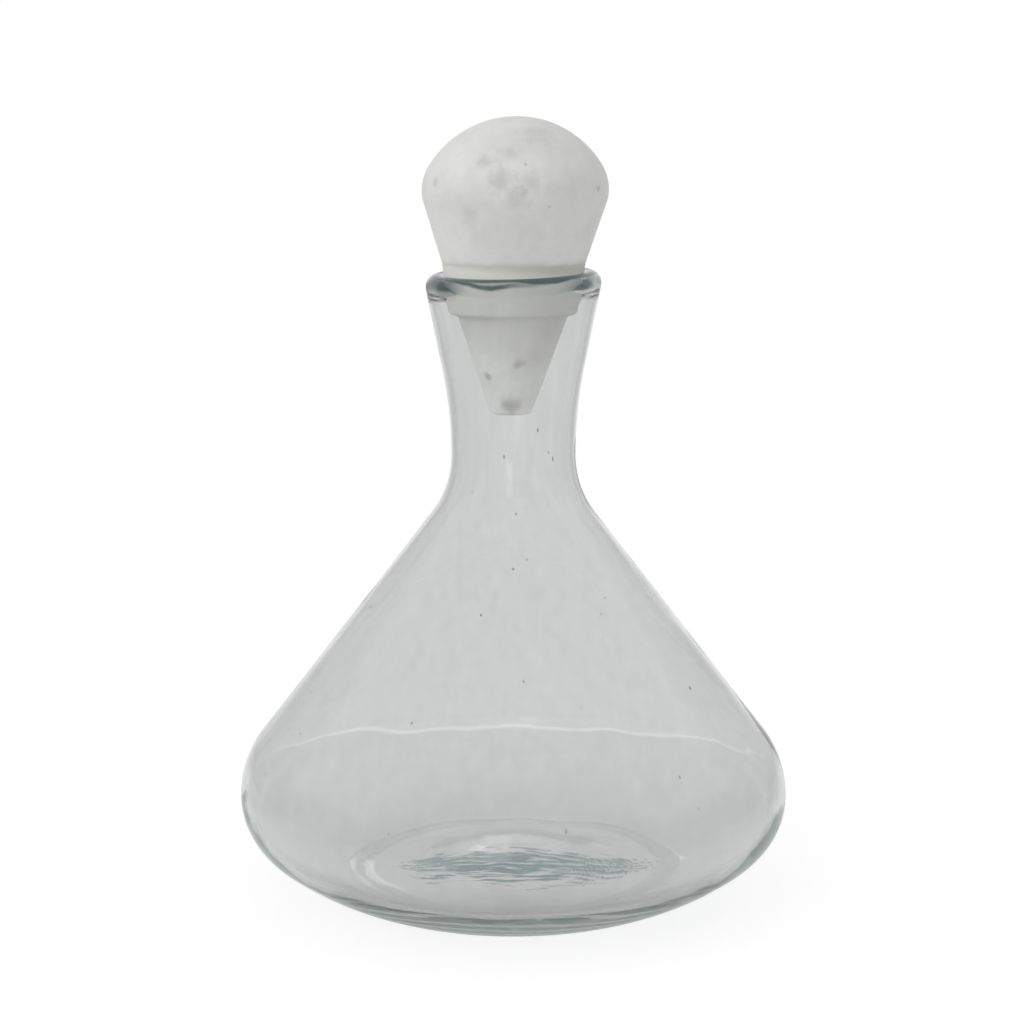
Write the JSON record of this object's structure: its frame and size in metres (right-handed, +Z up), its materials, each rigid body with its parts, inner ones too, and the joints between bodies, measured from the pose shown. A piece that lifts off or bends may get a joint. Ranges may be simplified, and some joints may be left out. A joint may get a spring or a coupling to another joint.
{
  "type": "decanter with stopper",
  "caption": "Blown glass decanter with a wide flat bowl, conical shoulder and flared neck, closed by a turned marble stopper that lifts out.",
  "frame": {"origin": "centre of the standing ring, on the surface that the decanter stands on", "axes": "+Z up along the axis of the bowl, neck and stopper; the part is a body of revolution, so +X and +Y are free"},
  "size_m": [0.2, 0.2, 0.2786],
  "materials": {
    "clear_glass": "clear blown glass with a faint blue-green grey cast, fire-polished, with small seeds and chill wrinkles under the base",
    "white_marble": "honed white marble with soft grey clouds and a few small grey specks",
    "milky_seal": "soft translucent off-white seal, satin"
  },
  "bodies": {
    "vessel": {"glass_body": "clear_glass"},
    "stopper": {"marble_stopper": "white_marble", "seal_sleeve": "milky_seal"}
  },
  "joints": [
    {"name": "stopper_lift", "type": "slide", "parent": "vessel", "child": "stopper", "axis": [0, 0, 1], "range_m": [0, 0.1]}
  ]
}
